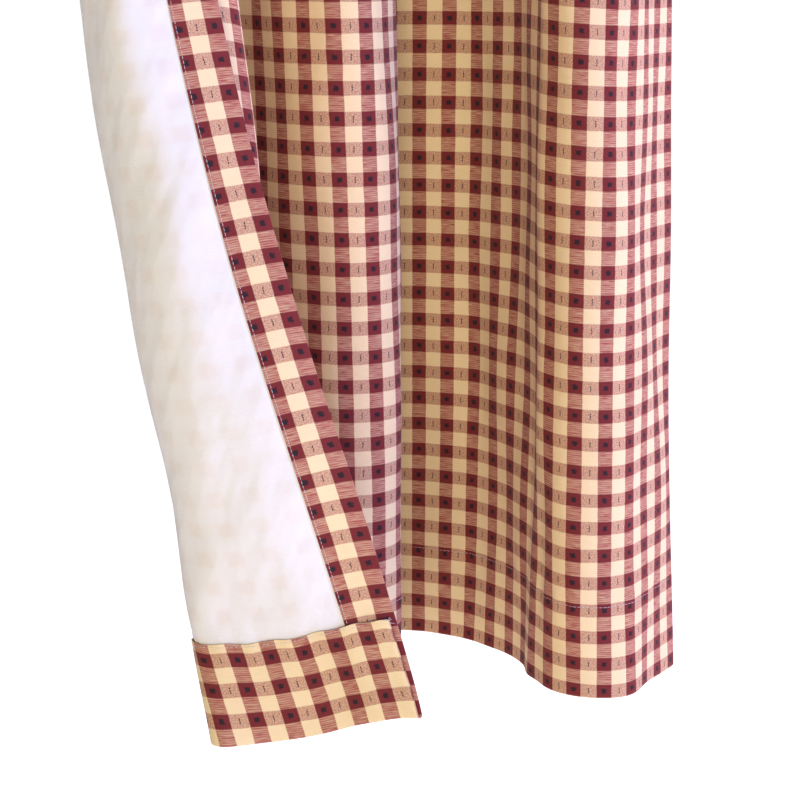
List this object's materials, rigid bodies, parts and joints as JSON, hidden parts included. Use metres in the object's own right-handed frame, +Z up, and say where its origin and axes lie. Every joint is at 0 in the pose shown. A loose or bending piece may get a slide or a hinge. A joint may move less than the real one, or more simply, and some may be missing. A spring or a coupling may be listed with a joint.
{
  "type": "lined curtain panel",
  "caption": "Lined cotton check curtain panel, gathered at its top edge and hanging in deep soft folds, with the leading edge turned forward so that the white lining and the hems show",
  "frame": {"origin": "middle of the top edge, in plan the middle of the box around that edge", "axes": "+Z up, +X along the top edge from the leading edge to the outer edge, -Y out of the check face, towards the room"},
  "size_m": [0.6583, 0.3731, 1.6152],
  "materials": {
    "check_cotton": "matt yarn-dyed cotton woven in a burgundy and tan check with a small black block in each solid square",
    "lining_cotton": "matt plain-weave white cotton with soft creases"
  },
  "bodies": {
    "root": {"check_panel": "check_cotton", "lining": "lining_cotton"}
  },
  "joints": []
}
